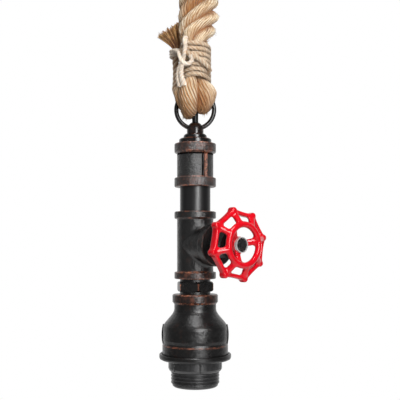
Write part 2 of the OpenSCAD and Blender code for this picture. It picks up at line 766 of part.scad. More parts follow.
module socket_body() {
    color([0.14, 0.14, 0.15])
    rotate_extrude() polygon(concat(
        [[18, z_end], [crest - 2.3, z_end], [crest - 1.3, z_end + 0.8], [root, z_end + 2]],
        thread_teeth(),
        [[root, body_top], [17.6, body_top], [17.6, body_top + 6], [15.8, body_top + 6],
         [15.8, web_z + 2.5], [12.5, web_z + 2.5], [12.5, web_z], [18, web_z]]));
}

module shell_insulator() {
    color([0.9, 0.89, 0.86])
    difference() {
        rotate_extrude() polygon([
            [0, web_z - 0.05], [17.8, web_z - 0.05], [17.8, web_z - 12.5], [shell_d / 2 + 0.6, web_z - 12.5],
            [shell_d / 2 + 0.6, web_z - 8], [shell_d / 2 - 0.4, web_z - 8],
            [shell_d / 2 - 0.4, web_z - 4], [0, web_z - 4]]);
        for (x = [-9, 9]) translate([x, 0, web_z - 10]) cylinder(r = 1.6, h = 20);
    }
}

module screw_shell() {
    color([0.78, 0.62, 0.3])
    translate([0, 0, web_z - 23]) pipe_ring(shell_d / 2 + 0.5, shell_d / 2, 14.95);
}

module centre_contact() {
    color([0.78, 0.62, 0.3])
    translate([0, 0, web_z - 4.05]) rotate([90, 0, 0]) translate([0, 0, -2.5])
    linear_extrude(height = 5) polygon([
        [-10.6, 0], [-3.6, 0], [1.5, -2.6], [4, -2.6], [4, -3.2], [1.2, -3.2], [-3.9, -0.6],
        [-7.4, -0.6], [-7.4, -0.6], [-10.6, -0.6]]);
}

module terminal_screws() {
    color([0.74, 0.74, 0.76])
    for (x = [-9, 9]) translate([x, 0, web_z]) difference() {
        union() {
            translate([0, 0, -3.95]) cylinder(r = 1.5, h = 4.5);
            cylinder(r = 2.6, h = 1.8);
        }
        translate([-3, -0.3, 1.2]) cube([6, 0.6, 2]);
    }
}

sheath_end = z_mid + 4;

module lamp_cable() {
    color([0.05, 0.05, 0.05])
    translate([0, 0, sheath_end]) cylinder(r = cable_r, h = z_ring - 8 - sheath_end);
}

// One insulated core from the end of the sheath to its terminal screw.
module core_wire(s) {
    tube([[s * 1.25, 0, sheath_end - 0.2], [s * 1.25, 0, z_hex], [s * 1.25, 0, z_bell],
        [s * 1.25, 0, cap_hub - 2], [s * 1.8, 0.6, cap_hub - 8], [s * 4.5, 3, body_top + 4],
        [s * 7.4, 4, web_z + 5], [s * 9, 3.9, web_z + 1.4]], 1.05, 8, [0, 1, 0.001]);
}

module live_wire() {
    color([0.5, 0.28, 0.16]) core_wire(1);
}

module neutral_wire() {
    color([0.2, 0.35, 0.7]) core_wire(-1);
}

// SHADE FIXING

dish_top = z_bell_end + 1.2;
dish_floor = z_bell_end - 0.2;
dish_low = dish_top - dish_h;
dish_r = bell_r + dish_lip;

module shade_dish() {
    color([0.06, 0.06, 0.06])
    rotate_extrude() polygon([
        [crest + 0.35, dish_low], [dish_r - 2, dish_low], [dish_r - 0.5, dish_low + 0.8],
        [dish_r, dish_low + 2], [dish_r, dish_top - 0.6], [dish_r - 0.5, dish_top],
        [bell_r + 1.2, dish_top], [bell_r + 0.75, dish_top - 0.5], [bell_r + 0.75, dish_floor],
        [crest + 0.35, dish_floor]]);
}

module ring_nut() {
    color([0.08, 0.08, 0.08])
    translate([0, 0, dish_low - 0.3 - nut_h]) difference() {
        rotate_extrude() polygon([
            [crest + 0.35, 0], [lerp(crest + 0.35, nut_d / 2, 0.3), 0],
            [lerp(crest + 0.35, nut_d / 2, 0.7), 0.9], [nut_d / 2, 2.4],
            [nut_d / 2, nut_h - 0.3], [nut_d / 2 - 0.3, nut_h], [crest + 0.35, nut_h]]);
        for (k = [0 : 5]) rotate([0, 0, -30 + 60 * k])
            translate([nut_d / 2 + 0.1, 0, -1]) cylinder(r = 0.9, h = nut_h + 2, $fn = 24);
    }
}

ceiling_canopy();
mounting_bar();
canopy_screws();
terminal_block();
cap_nipple();
cap_nut();
rope_cap();
cap_screws();
hemp_rope();
supply_cable();
lashing();
rope_tail();
tail_whipping();
rope_brush();
hanging_loop();
top_bushing();
top_coupling();
pipe_nipple();
pipe_tee();
valve_bonnet();
gland_nut();
valve_spindle();
spindle_clip();
handwheel();
wheel_washer();
wheel_nut();
hex_nipple();
bell_reducer();
socket_stem();
stem_locknut();
socket_cap();
socket_body();
shell_insulator();
screw_shell();
centre_contact();
terminal_screws();
lamp_cable();
live_wire();
neutral_wire();
shade_dish();
ring_nut();
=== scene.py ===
import math

import bpy
import numpy as np
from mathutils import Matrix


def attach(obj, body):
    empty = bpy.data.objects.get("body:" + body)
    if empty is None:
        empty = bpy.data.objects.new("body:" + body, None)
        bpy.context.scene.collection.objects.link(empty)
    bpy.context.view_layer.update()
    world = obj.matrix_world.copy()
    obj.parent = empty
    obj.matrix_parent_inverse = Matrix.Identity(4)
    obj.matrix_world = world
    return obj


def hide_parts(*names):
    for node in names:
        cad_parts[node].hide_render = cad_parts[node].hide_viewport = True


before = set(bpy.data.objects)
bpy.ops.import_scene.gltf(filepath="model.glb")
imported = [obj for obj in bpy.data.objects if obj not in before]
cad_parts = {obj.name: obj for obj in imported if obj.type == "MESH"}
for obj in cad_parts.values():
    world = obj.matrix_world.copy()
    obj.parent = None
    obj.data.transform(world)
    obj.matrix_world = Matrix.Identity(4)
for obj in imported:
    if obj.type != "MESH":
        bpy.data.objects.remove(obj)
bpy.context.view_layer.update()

# Ceiling rose: a pressed steel cup with a powder coat, held over the outlet by a zinc
# bar. Two slotted screws at its rim go into the bar's ears, and a white terminal block
# joins the supply.


def finish(name, colour, roughness, metallic=0.0):
    """A named material that starts as one plain Principled shader."""
    mat = bpy.data.materials.new(name)
    mat.use_nodes = True
    shader = mat.node_tree.nodes["Principled BSDF"]
    shader.inputs["Base Color"].default_value = (*colour, 1.0)
    shader.inputs["Roughness"].default_value = roughness
    shader.inputs["Metallic"].default_value = metallic
    return mat


def put(mat, kind, sockets=(), **props):
    """Add one node. Sockets map an input to a number, a colour or another node's output."""
    made = mat.node_tree.nodes.new(kind)
    for key, value in props.items():
        setattr(made, key, value)
    for key, value in dict(sockets).items():
        if isinstance(value, bpy.types.NodeSocket):
            mat.node_tree.links.new(value, made.inputs[key])
        else:
            made.inputs[key].default_value = value
    return made


def feed(mat, socket, output):
    """Join an output to one socket of the material's shader."""
    shader = mat.node_tree.nodes["Principled BSDF"]
    mat.node_tree.links.new(output, shader.inputs[socket])


def tune(mat, **levels):
    """Set plain levels on the material's shader, such as Coat_Weight for its Coat Weight."""
    shader = mat.node_tree.nodes["Principled BSDF"]
    for socket, level in levels.items():
        shader.inputs[socket.replace("_", " ")].default_value = level


def place(mat):
    """Object coordinates, in metres in the part's own frame."""
    return put(mat, "ShaderNodeTexCoord").outputs["Object"]


def grain(mat, where, scale, detail=3.0, rough=0.55):
    """Noise of about 1/scale metres to a grain."""
    return put(mat, "ShaderNodeTexNoise", {"Vector": where, "Scale": scale, "Detail": detail,
                                           "Roughness": rough}).outputs["Fac"]


def ramp(mat, fac, *stops):
    """Colour ramp through (position, colour) stops."""
    made = put(mat, "ShaderNodeValToRGB", {"Fac": fac})
    bar = made.color_ramp
    while len(bar.elements) < len(stops):
        bar.elements.new(0.5)
    for element, (spot, colour) in zip(bar.elements, stops):
        element.position = spot
        element.color = (*colour, 1.0)
    return made.outputs["Color"]


def span(mat, value, low, high, to_low=0.0, to_high=1.0):
    """Map low..high to to_low..to_high, smoothed and clamped."""
    return put(mat, "ShaderNodeMapRange", {"Value": value, "From Min": low, "From Max": high,
                                           "To Min": to_low, "To Max": to_high},
               interpolation_type="SMOOTHSTEP").outputs["Result"]


def sums(mat, kind, a, b=0.0):
    """One Math node."""
    return put(mat, "ShaderNodeMath", {0: a, 1: b}, operation=kind).outputs["Value"]


def blend(mat, factor, first, second, kind="MIX"):
    """Colour mix from first to second by a factor of 0..1."""
    made = put(mat, "ShaderNodeMix", {"Factor": factor, 6: first, 7: second},
               data_type="RGBA", blend_type=kind)
    return made.outputs[2]


def relief(mat, height, depth):
    """Bump of the given depth in metres under the whole shader."""
    made = put(mat, "ShaderNodeBump", {"Height": height, "Distance": depth, "Strength": 1.0})
    feed(mat, "Normal", made.outputs["Normal"])


def dress(mat, *nodes):
    """Give CAD nodes their finish."""
    for name in nodes:
        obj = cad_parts[name]
        if not obj.material_slots:
            obj.data.materials.append(mat)
        for spot in obj.material_slots:
            spot.material = mat


powder_black = finish("powder_black", (0.02, 0.02, 0.021), 0.42)
peel = grain(powder_black, place(powder_black), 900.0)
feed(powder_black, "Roughness", span(powder_black, peel, 0.3, 0.7, 0.36, 0.5))
relief(powder_black, peel, 0.00006)
dress(powder_black, "ceiling_canopy")

zinc = finish("zinc_plate", (0.62, 0.62, 0.6), 0.35, 1.0)
spangle = grain(zinc, place(zinc), 350.0, 5.0)
feed(zinc, "Base Color", ramp(zinc, spangle, (0.3, (0.5, 0.5, 0.49)), (0.7, (0.68, 0.68, 0.65))))
feed(zinc, "Roughness", span(zinc, spangle, 0.3, 0.7, 0.28, 0.46))
dress(zinc, "mounting_bar", "canopy_screws", "terminal_screws")

block_white = finish("block_white", (0.8, 0.8, 0.77), 0.45)
relief(block_white, grain(block_white, place(block_white), 1500.0), 0.00003)
dress(block_white, "terminal_block")

# Threaded brass: the nipple and nut that join the rope cap to the rose, the stem and
# locknut that hold the socket, and the screw shell with its contact.

brass = finish("brass", (0.72, 0.5, 0.2), 0.32, 1.0)
tarnish = grain(brass, place(brass), 260.0, 6.0)
feed(brass, "Base Color", ramp(brass, tarnish, (0.35, (0.55, 0.36, 0.14)), (0.65, (0.78, 0.56, 0.24))))
feed(brass, "Roughness", span(brass, tarnish, 0.3, 0.7, 0.42, 0.24))
dress(brass, "cap_nipple", "cap_nut", "socket_stem", "stem_locknut", "screw_shell", "centre_contact")

# Rope cap: a turned steel cup with the rose's powder coat. Three set screws through its
# wall bite into the rope's end.

dress(powder_black, "rope_cap")
screw_dark = finish("screw_dark", (0.1, 0.1, 0.105), 0.38, 1.0)
turned = grain(screw_dark, place(screw_dark), 700.0)
feed(screw_dark, "Roughness", span(screw_dark, turned, 0.3, 0.7, 0.3, 0.5))
dress(screw_dark, "cap_screws")

# Hemp rope: four thick strands laid up right-handed. It comes down from the cap, opens
# into slack lobes round the ring's wire, and its short leg goes back up behind. The
# lashing binds both legs together.

loop_turn = math.radians(49.5)
right = np.array([math.cos(loop_turn), math.sin(loop_turn), 0.0])
toward = np.array([math.sin(loop_turn), -math.cos(loop_turn), 0.0])
ring_top = -141.0


def settle(points):
    """Turn local millimetres (x right, y away, z up from the ring) into the frame's metres."""
    x, y, z = points[..., 0], points[..., 1], points[..., 2] + ring_top
    plan = [x * right[i] - y * toward[i] for i in (0, 1)]
    return np.stack([*plan, z], axis=-1) / 1000.0


def spline(knots, count):
    """Smooth path: cubic Hermite through the knots with Catmull-Rom slopes, even steps."""
    knots = np.asarray(knots, float)
    chord = np.r_[0.0, np.cumsum(np.linalg.norm(np.diff(knots[:, :3], axis=0), axis=1))]
    slope = np.gradient(knots, chord, axis=0)
    t = np.linspace(0.0, chord[-1], count)
    i = np.clip(np.searchsorted(chord, t, side="right") - 1, 0, len(chord) - 2)
    h = (chord[i + 1] - chord[i])[:, None]
    u = ((t - chord[i])[:, None]) / h
    return ((2 * u**3 - 3 * u**2 + 1) * knots[i] + (u**3 - 2 * u**2 + u) * h * slope[i]
            + (3 * u**2 - 2 * u**3) * knots[i + 1] + (u**3 - u**2) * h * slope[i + 1])


def run_of(path):
    """Distance along a path at each of its points."""
    return np.r_[0.0, np.cumsum(np.linalg.norm(np.diff(path, axis=0), axis=1))]


def heading(path):
    """Unit tangent at each point of a path."""
    t = np.gradient(path, axis=0)
    return t / np.linalg.norm(t, axis=1, keepdims=True)


def surface(name, points, faces, mat):
    """Smooth mesh object from points in metres and faces by index."""
    mesh = bpy.data.meshes.new(name)
    mesh.from_pydata(points.tolist(), [], faces)
    mesh.polygons.foreach_set("use_smooth", np.ones(len(mesh.polygons), bool))
    mesh.materials.append(mat)
    mesh.update()
    obj = bpy.data.objects.new(name, mesh)
    bpy.context.scene.collection.objects.link(obj)
    return obj


def skin(name, tubes, mat, body):
    """Mesh over closed tubes, each a grid, its UVs and its darkening value. A grid is rows x columns x 3
    in local millimetres: columns go round the section and rows along the run, each end closed
    by one face. UVs have one column more, so the pattern runs on over the seam. The darkening
    value is 0 to 1 at each point: painted shade in grooves and hollows, and on the stray fibres
    a darker tone drawn at random."""
    points, faces, corners, shade, first = [], [], [], [], 0
    for grid, uv, shade_and_tone in tubes:
        rows, cols = grid.shape[:2]
        r, c = np.meshgrid(np.arange(rows - 1), np.arange(cols), indexing="ij")
        nxt = (c + 1) % cols
        quads = np.stack([r * cols + c, r * cols + nxt, (r + 1) * cols + nxt, (r + 1) * cols + c], -1)
        spots = np.stack([uv[r, c], uv[r, c + 1], uv[r + 1, c + 1], uv[r + 1, c]], 2)
        ring = np.arange(cols)
        faces += (quads.reshape(-1, 4) + first).tolist()
        faces += [(ring[::-1] + first).tolist(), (ring + (rows - 1) * cols + first).tolist()]
        corners += [spots.reshape(-1, 2), uv[0, :-1][::-1], uv[-1, :-1]]
        points.append(grid.reshape(-1, 3))
        shade.append(shade_and_tone.ravel())
        first += rows * cols
    obj = surface(name, settle(np.concatenate(points)), faces, mat)
    flat_uv = np.concatenate(corners).astype(np.float32).ravel()
    obj.data.uv_layers.new(name="lay").data.foreach_set("uv", flat_uv)
    depth = np.concatenate(shade).astype(np.float32)
    obj.data.attributes.new("shade_and_tone", "FLOAT", "POINT").data.foreach_set("value", depth)
    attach(obj, body)
    return obj


rope_r, rope_lay, eye_r = 16.5, 58.0, 14.0
# Each row of the rope's course is x, y, z, half width, half depth.
standing = [[0, 0, 112.5, rope_r, rope_r], [0, 0, 102, rope_r, rope_r], [0.5, -0.5, 92, rope_r, rope_r],
            [2.3, -2, 83, 17.0, 16.8], [3.2, -4.5, 70, 17.2, 16.5], [2.2, -8, 53, 16.4, 14.8],
            [0.2, -11.4, 42, 13.8, 13.4], [-0.2, -12.9, 36, 10.4, 12.6], [0, -13.2, 32, 8.5, 12.5],
            [0, -13.2, 18.6, 8.5, 12.5], [0, -13.2, 7, 8.6, 12.5], [0, -13.4, 4.4, 11.4, 12.0],
            [0, -eye_r, 0, 16.2, 10.9]]
turn_at = np.radians(np.arange(15, 180, 15))
opened = np.clip((np.abs(90 - np.degrees(turn_at)) - 14) / 50, 0, 1)
turning = np.c_[0 * turn_at, -eye_r * np.cos(turn_at), -eye_r * np.sin(turn_at),
                13.75 + 4.25 * opened, 8.8 + 0.7 * opened]
returning = [[0, eye_r, 0, 16.2, 10.9], [0, 13.4, 4.4, 11.4, 12.0], [0, 13.2, 7, 8.6, 12.5],
             [0, 13.2, 18.6, 8.5, 12.5], [-0.5, 13.2, 32.9, 8.5, 12.2], [-1.5, 13.8, 40.9, 9.5, 11.5]]
rope_line = spline(np.r_[standing, turning, returning], 430)
rope_path, rope_run = rope_line[:, :3], run_of(rope_line[:, :3])
going_down, eye_top = slice(0, 210), 34.0
eye_from = float(np.interp(-eye_top, -rope_path[going_down, 2], rope_run[going_down]))


def laid_rope(cols):
    """Section of half width a and half depth b carried along the rope. In the standing part it
    is the union of four round strands, r = R (c cos f + sqrt(q^2 - c^2 sin^2 f)), f the angle
    from the nearest strand, and the strands climb one turn in a lay, slower near the lashing. In
    the eye each groove stays put and takes depth (1 - sqrt(1 - 0.97 (1 - d/w)^2)) off, d the
    distance to it and w its half width. Yarns ripple the skin. The darkening value is painted
    shade in the grooves, between the yarns and on one strand near the cap, and it also makes
    the eye darker towards its low end."""
    run, path = rope_run[:, None], rope_path
    side = np.array([1.0, 0.0, 0.0])
    deep = np.cross(heading(path), side)
    deep /= np.linalg.norm(deep, axis=1, keepdims=True)
    a, b = rope_line[:, 3:4], rope_line[:, 4:5]
    turn = np.linspace(0, 2 * np.pi, cols, endpoint=False)[None, :]
    size = np.sqrt((a * np.cos(turn))**2 + (b * np.sin(turn))**2)
    eye = np.clip((run - eye_from) / 14.0, 0, 1)
    eye = eye * eye * (3 - 2 * eye)
    slow_from, slow_over = 66.0, 3.0
    slowed = run - 0.2 * slow_over * np.log1p(np.exp((run - slow_from) / slow_over))
    climb = 2 * np.pi * (slowed - 43.4) / rope_lay + np.pi / 2
    off = (turn - climb + np.pi / 4) % (np.pi / 2) - np.pi / 4
    off = np.pi / 4 - np.abs(off)
    strand_out, strand_r = 0.54, 0.46
    strand = strand_out * np.cos(off) + np.sqrt(strand_r**2 - (strand_out * np.sin(off))**2)
    laid = size * (1 - strand)
    slack = np.zeros_like(size)
    grooves = ((78.0, 6.5, 8.5), (152.0, 3.6, 6.0), (222.0, 4.0, 8.0), (330.0, 4.0, 8.0))
    for rest, depth, wide in grooves:
        away = np.abs((turn - math.radians(rest) + np.pi) % (2 * np.pi) - np.pi) * size
        near = np.clip(1 - away / wide, 0, 1)
        slack = np.maximum(slack, depth * (1 - np.sqrt(1 - 0.97 * near**2)))
    slack = slack - 2.6 * np.exp(-((turn - 1.95) / 0.5)**2) + 0.8 * np.exp(-((turn - 0.85) / 0.4)**2)
    cut = (1 - eye) * laid + eye * slack
    slant = (1 - eye) * (turn * rope_r - run * 0.5) + eye * (turn * rope_r + run * 0.55)
    yarn = np.sin(2 * np.pi * slant / 2.1 + 1.1 * np.sin(run / 5.1) + 0.7 * np.sin(3 * turn + run / 7))
    fade = 1 - np.clip(cut / 5.0, 0, 1) * 0.7
    out = size - cut + (0.3 + 0.1 * eye) * fade * yarn + 0.4 * np.sin(run / 6.3 + 2 * turn) * fade
    ring = (side * (a * np.cos(turn) * out / size)[..., None]
            + deep[:, None, :] * (b * np.sin(turn) * out / size)[..., None])
    grid = path[:, None, :] + ring
    girth = np.linspace(0, 2 * np.pi, cols + 1)[None, :] * rope_r
    across = (1 - eye) * (girth * 0.87 - run * 0.5) + eye * (girth * 0.85 + run * 0.53)
    along = (1 - eye) * (run * 0.87 + girth * 0.5) + eye * (run * 0.85 - girth * 0.53)
    # Painted shade in the grooves, between the yarns and on one strand near the cap; the eye also
    # darkens towards its low end.
    low = eye * np.clip((-path[:, 2:3] - 2.0) / 14.0, 0, 1)
    shaded_strand = ((turn - climb) % (2 * np.pi) < np.pi / 2) * (1 - eye) * np.clip((54 - run) / 8, 0, 1)
    shade_and_tone = np.clip(cut / 5.0, 0, 1)**1.3 + 0.28 * fade * (1 - yarn) * (0.2 + 0.8 * eye)
    shade_and_tone = np.clip(shade_and_tone + 0.75 * low + 0.62 * shaded_strand, 0, 1)
    return grid, np.stack([across, along], -1) / 10.0, shade_and_tone


def stretched(mat, where, scale):
    """Coordinates scaled on each axis, so that the noise on them is drawn out."""
    return put(mat, "ShaderNodeMapping", {"Vector": where, "Scale": scale}).outputs["Vector"]


def fibrous(name, dark, mid, pale, coarse, shaded, furrowed=0.0, deep=0.0009):
    """Bast fibre on the piece's own lay: long thin streaks across U, drawn out along V. The
    per-point darkening value and the furrows between yarns mix in the shaded colour as painted
    shade."""
    mat = finish(name, mid, 0.85)
    lay = put(mat, "ShaderNodeUVMap", uv_map="lay").outputs["UV"]
    hair = grain(mat, stretched(mat, lay, (34.0 * coarse, 2.2, 1.0)), 1.0, 4.0, 0.6)
    yarn = grain(mat, stretched(mat, lay, (10.0 * coarse, 0.7, 1.0)), 1.0, 3.0, 0.5)
    patch = grain(mat, place(mat), 55.0, 3.0)
    tone = sums(mat, "ADD", sums(mat, "MULTIPLY", hair, 0.4), sums(mat, "MULTIPLY", yarn, 0.5))
    tone = sums(mat, "ADD", tone, sums(mat, "MULTIPLY", patch, 0.2))
    line = put(mat, "ShaderNodeTexWave", {"Vector": lay, "Scale": 1.5 * coarse, "Distortion": 2.2,
                                          "Detail": 2.0, "Detail Scale": 1.6}, bands_direction="X")
    furrow = span(mat, line.outputs["Fac"], 0.0, 0.4, 1.0, 0.0)
    furrow = sums(mat, "MULTIPLY", furrow, furrowed)
    shade_and_tone = put(mat, "ShaderNodeAttribute", attribute_name="shade_and_tone").outputs["Fac"]
    # Painted shade: the darkening value and the furrows blend the colour towards the shaded one.
    shade = blend(mat, sums(mat, "ADD", shade_and_tone, furrow), (1, 1, 1, 1), (*shaded, 1.0))
    colour = ramp(mat, tone, (0.45, dark), (0.52, mid), (0.61, pale))
    feed(mat, "Base Color", blend(mat, 1.0, colour, shade, "MULTIPLY"))
    relief(mat, sums(mat, "SUBTRACT", sums(mat, "ADD", hair, yarn), furrow), deep)
    tune(mat, Sheen_Weight=0.15, Sheen_Roughness=0.6)
    return mat


# Umber is the colour of the painted shade in the rope's grooves and hollows.
umber = (0.53, 0.28, 0.12)
hemp = fibrous("hemp", (0.42, 0.23, 0.09), (0.88, 0.67, 0.42), (1.0, 0.9, 0.7), 1.05, umber,
               furrowed=0.8)
rope_tube = laid_rope(208)
rope = skin("rope", [rope_tube], hemp, "ceiling")
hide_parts("hemp_rope")

# Supply cable: a round black lead in the heart of the rope, from the terminal block down
# through the nipple to the ring, where the lamp's own cable meets it.

cable_black = finish("cable_black", (0.006, 0.006, 0.0062), 0.3)
relief(cable_black, grain(cable_black, place(cable_black), 1400.0), 0.00004)
tune(cable_black, Specular_IOR_Level=0.16)
dress(cable_black, "lamp_cable")


def tube(path, radius, cols, ply=0, lay=1.0, lump=0.0, up=(0.0, 0.0, 1.0)):
    """Rings round a path: p + r(a)(N cos a + B sin a), N square to the run and to `up`. With
    plies, r = R (1 - lump (1 - |cos(ply/2 (a - 2 pi s / lay))|)), so that they wind round it."""
    t = heading(path)
    n = np.cross(t, np.asarray(up))
    n /= np.linalg.norm(n, axis=1, keepdims=True)
    b = np.cross(t, n)
    s = run_of(path)[:, None]
    a = np.linspace(0, 2 * np.pi, cols, endpoint=False)[None, :]
    r = np.asarray(radius, float).reshape(-1, 1) * np.ones((len(path), cols))
    if ply:
        r = r * (1 - lump * (1 - np.abs(np.cos(ply / 2 * (a - 2 * np.pi * s / lay)))))
    grid = (path[:, None, :] + n[:, None, :] * (r * np.cos(a))[..., None]
            + b[:, None, :] * (r * np.sin(a))[..., None])
    wrap = np.linspace(0, 2 * np.pi, cols + 1)[None, :]
    turns = 2 * np.pi * s / lay if ply else 0 * s
    size = float(np.mean(r))
    uv = np.stack([(wrap - turns) * size + 0 * s, s + 0 * wrap], -1) / 10.0
    # The depth of the dent between plies is handed back as painted shade in the ply grooves.
    dent = 1 - r / r.max(axis=1, keepdims=True)
    return grid, uv, dent / max(float(dent.max()), 0.001)


back = np.array([right, -toward, [0, 0, 1]])
head = np.array([[7.8, 0, 133.5], [5, 0, 132.5], [2, 0, 130], [0.3, 0, 126]]) @ back.T
cable_path = spline(np.r_[head, [[0, 0, 115.5], [0, 0, 106.5], [0, -7, 0.8]]], 90)
cable = skin("core_cable", [tube(cable_path, 2.7, 16, up=(0.0, 1.0, 0.001))], cable_black, "ceiling")
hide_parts("supply_cable")

# Lashing: pale three-ply twine wound round both legs. The upper turns slope, the lower
# ones arch over the lobes, and where the two groups meet the twine crosses and is knotted,
# with its ends left long.

twine_pale = fibrous("twine_pale", (0.58, 0.38, 0.2), (0.82, 0.62, 0.42), (0.96, 0.84, 0.67), 1.6,
                     (0.74, 0.5, 0.3), deep=0.0014)
twine_white = fibrous("twine_white", (0.86, 0.68, 0.52), (0.97, 0.84, 0.7), (1.0, 0.93, 0.84), 1.6,
                      (0.93, 0.8, 0.66))
twine_r = 2.05
lash_wide, lash_deep, lash_square = 12.0, 28.1, 0.72


def wound(turns, low, pitch, start, tilt, arch):
    """Helix on a rounded rectangle: x = A sgn(cos)|cos|^0.72, y = B sgn(sin)|sin|^0.72, z rises
    one pitch a turn. On the front it leans by `tilt` along x and bows up by `arch`."""
    t = np.linspace(start, start + turns, int(150 * turns))
    c, s = np.cos(2 * np.pi * t), np.sin(2 * np.pi * t)
    x = lash_wide * np.sign(c) * np.abs(c)**lash_square
    y = lash_deep * np.sign(s) * np.abs(s)**lash_square
    front = np.clip(-y / 20.0, 0, 1)
    bow = arch * (np.cos(x / lash_wide * np.pi / 2) - 0.5)
    z = low + pitch * (t - start) + front * (tilt * x + bow)
    return np.c_[x, y, z]


def twine(path, radius=twine_r):
    """Three plies wound round a smooth path."""
    return tube(path, radius, 18, 3, 10.0, 0.28)


lower = wound(3.0, 5.3, 4.35, 0.3, -0.05, 2.4)
upper = wound(3.9, 19.4, 4.3, 0.35, -0.1, 0.0)
crossing = spline([[-13.5, -20, 28.5], [-9, -29, 27], [-6, -32, 24.6], [2.2, -32.3, 20.1],
                   [10.2, -28.5, 14.5], [12.4, -22, 12]], 80)
turns = [twine(lower), twine(upper), twine(crossing, 2.1)]
lashing = skin("lashing_twine", turns, twine_pale, "ceiling")
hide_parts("lashing")
# Each loose end is its points, its count of rings and how far it flares at the tip.
loose_ends = [
    ([[-10.5, -28, 20], [-9, -31.5, 25], [-8.3, -32, 31], [-8.6, -31.2, 36],
      [-7.4, -30.6, 38]], 46, 0.5),
    ([[-13.8, -24, 27], [-12.8, -28, 22.5], [-10, -31, 16.8], [-5.6, -32.4, 15.6],
      [-2.6, -33, 19], [-4.5, -33.6, 22.5]], 70, 0.0),
    ([[-8.5, -29, 18], [-11.2, -30, 13.6], [-11.6, -29, 6.5], [-9.4, -26.4, -1]], 50, 0.9),
    ([[-10, -28, 18], [-13.6, -27.2, 12.6], [-14.4, -25.4, 5], [-12.4, -23.4, -1.5]], 50, 0.9)]
knots = [twine(spline(course, rings), 1.95 + flare * np.linspace(0, 1, rings)**2)
         for course, rings, flare in loose_ends]
knot_ends = skin("lashing_ends", knots, twine_white, "ceiling")

# Loose strand: one strand of the rope's end comes up beside the lashing as a dark cord
# of three yarns, and is whipped before it frays.

dark_hemp = fibrous("dark_hemp", (0.3, 0.14, 0.05), (0.85, 0.56, 0.32), (1.0, 0.9, 0.74), 1.3,
                    (0.42, 0.2, 0.09))
tail_knots = [[-11, -11, -1.5], [-15, -8.5, -4], [-16.9, -5, -1], [-16.8, -2, 6], [-16.6, 0.5, 14],
              [-16.8, 2, 22], [-17.4, 2.6, 30], [-18, 2.8, 37]]
tail_path = spline(tail_knots, 150)
tail_tube = tube(tail_path, 3.2, 24, 3, 15.0, 0.36, up=(1.0, 0.3, 0.0))
tail = skin("loose_strand", [tail_tube], dark_hemp, "ceiling")
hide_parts("rope_tail")

# Whipping: about three turns of thin white twine bind the loose strand below its brush,
# and a thicker end runs forward from there to the lashing's knot.

whip_t = np.linspace(0, 3.2, 260)
lean = np.array([-0.3, -0.6, 7.0]) / np.linalg.norm([-0.3, -0.6, 7.0])
whip_r, whip_pitch = 4.3, 2.4
whip_path = (np.array([-17.4, 2.6, 30]) + lean * (whip_pitch * (whip_t - 0.3))[:, None]
             + np.c_[np.cos(2 * np.pi * whip_t), np.sin(2 * np.pi * whip_t), 0 * whip_t] * whip_r)
whip_end = spline([[-19, -1.5, 33], [-17, -5, 34], [-16.2, -12, 32], [-14.6, -18, 29.5],
                   [-13.6, -23, 27.5]], 50)
whips = [tube(whip_path, 1.15, 12, 3, 5.0, 0.3), tube(whip_end, 1.9, 14, 3, 7.0, 0.3)]
whipping = skin("whipping", whips, twine_white, "ceiling")
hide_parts("tail_whipping")

# Frayed brush: above the whipping the strand is combed out into stiff brown fibres that
# fan to the left.


def brush(count, seed):
    """Fibres fanning from the whipping, each a tapered four-sided tube. A fibre with place u
    across the fan, -1 at the left and 1 at the right, runs up by 13 + 6 (1 + u) and bends out
    by (8 u - 5.6) s^1.4, with a waver that grows towards its tip."""
    rng = np.random.default_rng(seed)
    s = np.linspace(0, 1, 10)[None, :, None]
    u, v = rng.uniform(-1, 1, (2, count, 1, 1))
    root = np.concatenate([u * 3.0, v * 2.4], -1)
    bend = np.concatenate([8.0 * u - 5.6, 4.5 * v - 2.0], -1) * s**1.4
    wave = rng.normal(0, 0.75, (count, 1, 2)) * s**2 * np.sin(5 * s + 9 * u)
    rise = (13 + 6 * (1 + u)) * rng.uniform(0.72, 1.05, (count, 1, 1)) * s
    path = np.concatenate([root + bend + wave, rise], -1) + np.array([-16.2, 1.8, 36.4])
    thick = rng.uniform(0.24, 0.52, (count, 1, 1)) * (1 - 0.4 * s)
    a = np.linspace(0, 2 * np.pi, 4, endpoint=False)
    off = np.stack([np.cos(a), np.sin(a), 0 * a], -1)[None, None, :, :]
    grids = path[:, :, None, :] + off * thick[..., None]
    # Painted shade: fibres darken towards the root and the middle of the fan, with a random tone on top.
    shade_and_tone = 1.1 - 0.85 * s[..., 0] - 0.25 * np.abs(u[..., 0]) + rng.uniform(-0.55, 0.45, (count, 1))
    shade_and_tone = np.repeat(np.clip(shade_and_tone, 0, 1)[:, :, None], 4, axis=2)
    lay = np.stack(np.broadcast_arrays(u * 3 + np.linspace(0, 0.2, 5), 2 * s), -1)
    return list(zip(grids, lay, shade_and_tone))


brush_hemp = fibrous("brush_hemp", (0.44, 0.17, 0.035), (0.84, 0.4, 0.11), (1.0, 0.66, 0.27), 1.0,
                     (0.2, 0.085, 0.035), deep=0.0014)
frayed = skin("frayed_brush", brush(360, 7), brush_hemp, "ceiling")
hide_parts("rope_brush")

# Stray fibres: short hairs that stand out from the rope all over, most of them on the
# slack lobes. They are the same brown bast as the brush.


